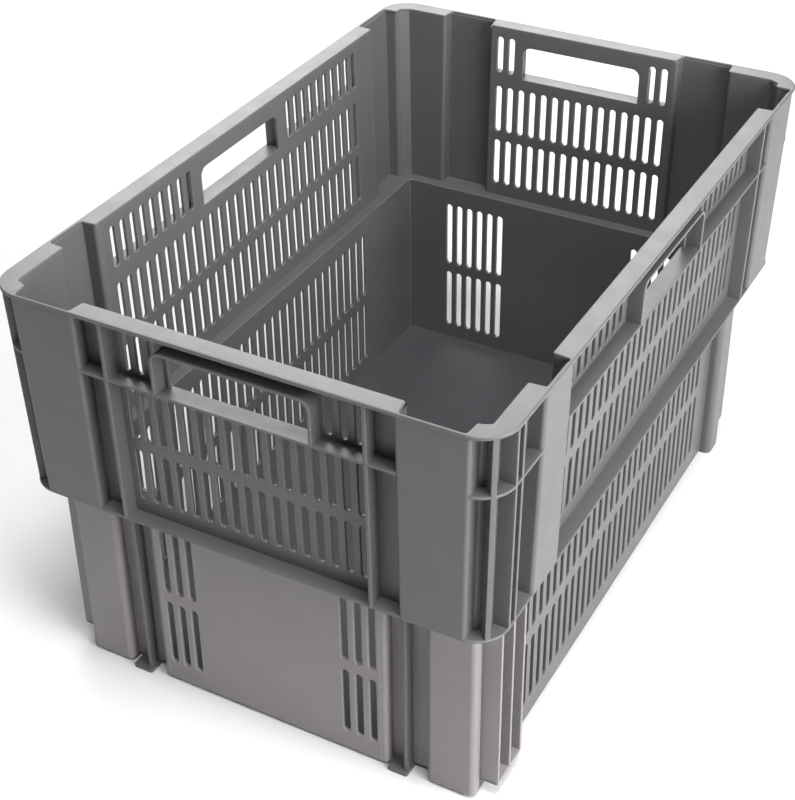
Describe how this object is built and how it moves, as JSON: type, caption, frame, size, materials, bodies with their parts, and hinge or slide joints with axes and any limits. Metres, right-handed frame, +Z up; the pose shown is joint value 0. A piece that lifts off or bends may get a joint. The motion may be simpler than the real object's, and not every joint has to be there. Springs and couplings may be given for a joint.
{
  "type": "stack and nest crate",
  "caption": "Open-top perforated plastic crate with a wide upper tier stepped over a narrower lower tier, corner bays for nesting, and moulded hand holes in each wall.",
  "frame": {"origin": "centre of the overall footprint, at the height of the undersides of the feet", "axes": "+X along the length towards the end with the closer-set bays, +Y towards the left side wall, +Z up"},
  "size_m": [0.6, 0.4, 0.35],
  "materials": {
    "corner_fins_back_left": "satin moulded grey polypropylene",
    "corner_fins_back_right": "satin moulded grey polypropylene",
    "corner_fins_front_left": "satin moulded grey polypropylene",
    "corner_fins_front_right": "satin moulded grey polypropylene",
    "corner_post_back_left": "satin moulded grey polypropylene",
    "corner_post_back_right": "satin moulded grey polypropylene",
    "corner_post_front_left": "satin moulded grey polypropylene",
    "corner_post_front_right": "satin moulded grey polypropylene",
    "floor_panel": "satin moulded grey polypropylene",
    "front_foot_left": "satin moulded grey polypropylene",
    "front_foot_right": "satin moulded grey polypropylene",
    "grille_back": "satin moulded grey polypropylene",
    "grille_front": "satin moulded grey polypropylene",
    "grille_left": "satin moulded grey polypropylene",
    "grille_right": "satin moulded grey polypropylene",
    "hand_band_back": "satin moulded grey polypropylene",
    "hand_band_front": "satin moulded grey polypropylene",
    "hand_band_left": "satin moulded grey polypropylene",
    "hand_band_right": "satin moulded grey polypropylene",
    "hand_hood_back": "satin moulded grey polypropylene",
    "hand_hood_front": "satin moulded grey polypropylene",
    "hand_hood_left": "satin moulded grey polypropylene",
    "hand_hood_right": "satin moulded grey polypropylene",
    "lower_back_wall": "satin moulded grey polypropylene",
    "lower_front_wall": "satin moulded grey polypropylene",
    "lower_left_wall": "satin moulded grey polypropylene",
    "lower_post_back_left": "satin moulded grey polypropylene",
    "lower_post_back_right": "satin moulded grey polypropylene",
    "lower_post_front_left": "satin moulded grey polypropylene",
    "lower_post_front_right": "satin moulded grey polypropylene",
    "lower_right_wall": "satin moulded grey polypropylene",
    "rim_back": "satin moulded grey polypropylene",
    "rim_front": "satin moulded grey polypropylene",
    "rim_left": "satin moulded grey polypropylene",
    "rim_right": "satin moulded grey polypropylene",
    "shelf_back": "satin moulded grey polypropylene",
    "shelf_front": "satin moulded grey polypropylene",
    "shelf_left": "satin moulded grey polypropylene",
    "shelf_right": "satin moulded grey polypropylene",
    "step_flange_back": "satin moulded grey polypropylene",
    "step_flange_front": "satin moulded grey polypropylene",
    "step_flange_left": "satin moulded grey polypropylene",
    "step_flange_right": "satin moulded grey polypropylene"
  },
  "bodies": {
    "root": {"corner_fins_back_left": "corner_fins_back_left", "corner_fins_back_right": "corner_fins_back_right", "corner_fins_front_left": "corner_fins_front_left", "corner_fins_front_right": "corner_fins_front_right", "corner_post_back_left": "corner_post_back_left", "corner_post_back_right": "corner_post_back_right", "corner_post_front_left": "corner_post_front_left", "corner_post_front_right": "corner_post_front_right", "floor_panel": "floor_panel", "front_foot_left": "front_foot_left", "front_foot_right": "front_foot_right", "grille_back": "grille_back", "grille_front": "grille_front", "grille_left": "grille_left", "grille_right": "grille_right", "hand_band_back": "hand_band_back", "hand_band_front": "hand_band_front", "hand_band_left": "hand_band_left", "hand_band_right": "hand_band_right", "hand_hood_back": "hand_hood_back", "hand_hood_front": "hand_hood_front", "hand_hood_left": "hand_hood_left", "hand_hood_right": "hand_hood_right", "lower_back_wall": "lower_back_wall", "lower_front_wall": "lower_front_wall", "lower_left_wall": "lower_left_wall", "lower_post_back_left": "lower_post_back_left", "lower_post_back_right": "lower_post_back_right", "lower_post_front_left": "lower_post_front_left", "lower_post_front_right": "lower_post_front_right", "lower_right_wall": "lower_right_wall", "rim_back": "rim_back", "rim_front": "rim_front", "rim_left": "rim_left", "rim_right": "rim_right", "shelf_back": "shelf_back", "shelf_front": "shelf_front", "shelf_left": "shelf_left", "shelf_right": "shelf_right", "step_flange_back": "step_flange_back", "step_flange_front": "step_flange_front", "step_flange_left": "step_flange_left", "step_flange_right": "step_flange_right"}
  },
  "joints": []
}
